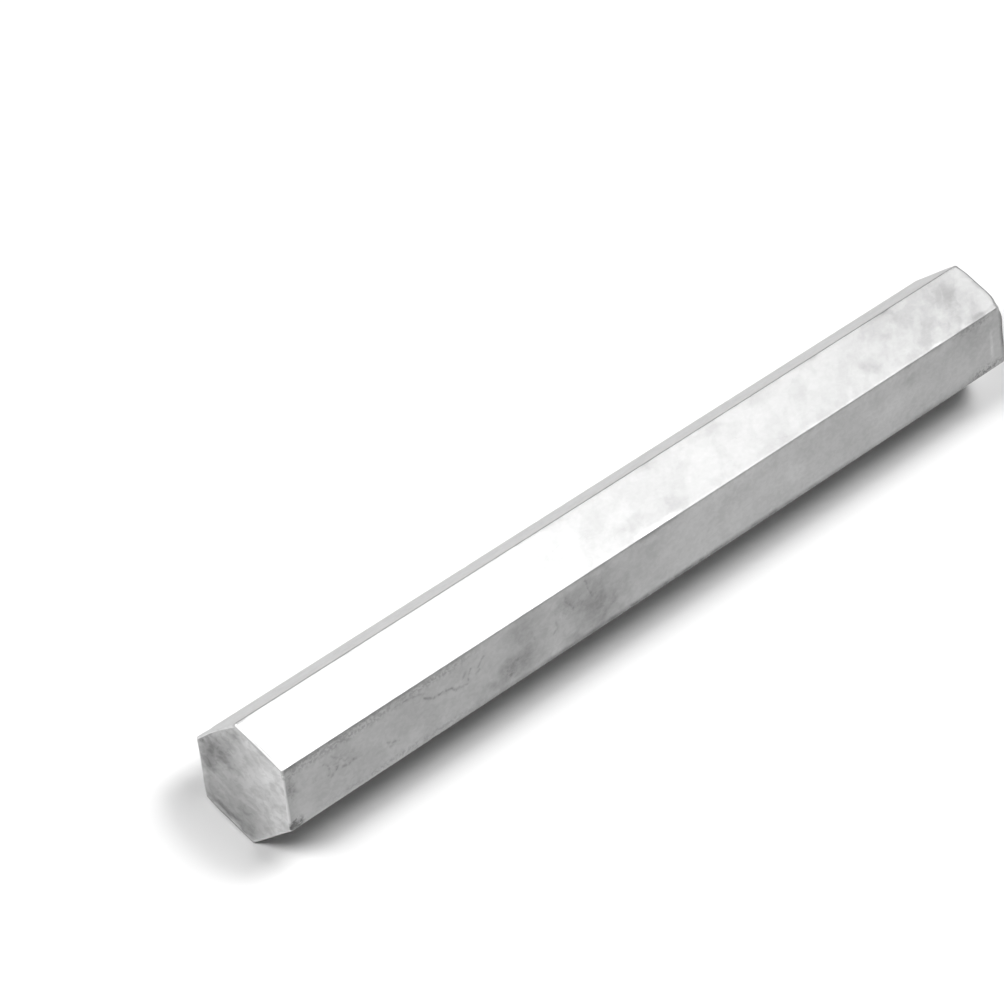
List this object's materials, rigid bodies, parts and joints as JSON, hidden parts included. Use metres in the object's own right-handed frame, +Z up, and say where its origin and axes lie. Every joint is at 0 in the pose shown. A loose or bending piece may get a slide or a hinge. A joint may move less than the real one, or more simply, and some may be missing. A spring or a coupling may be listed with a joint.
{
  "type": "hex bar stock",
  "caption": "Solid hexagonal bar of bright drawn steel with square sawn ends, raw stock for turning, milling and hex-headed parts.",
  "frame": {"origin": "middle of the flat that the bar lies on, halfway between the sawn ends", "axes": "+X along the bar from the near sawn end to the far one, +Z up through the top flat, +Y across the bar to the back"},
  "size_m": [0.3048, 0.0366, 0.0318],
  "materials": {
    "drawn_steel": "satin"
  },
  "bodies": {
    "root": {"hex_bar": "drawn_steel"}
  },
  "joints": []
}
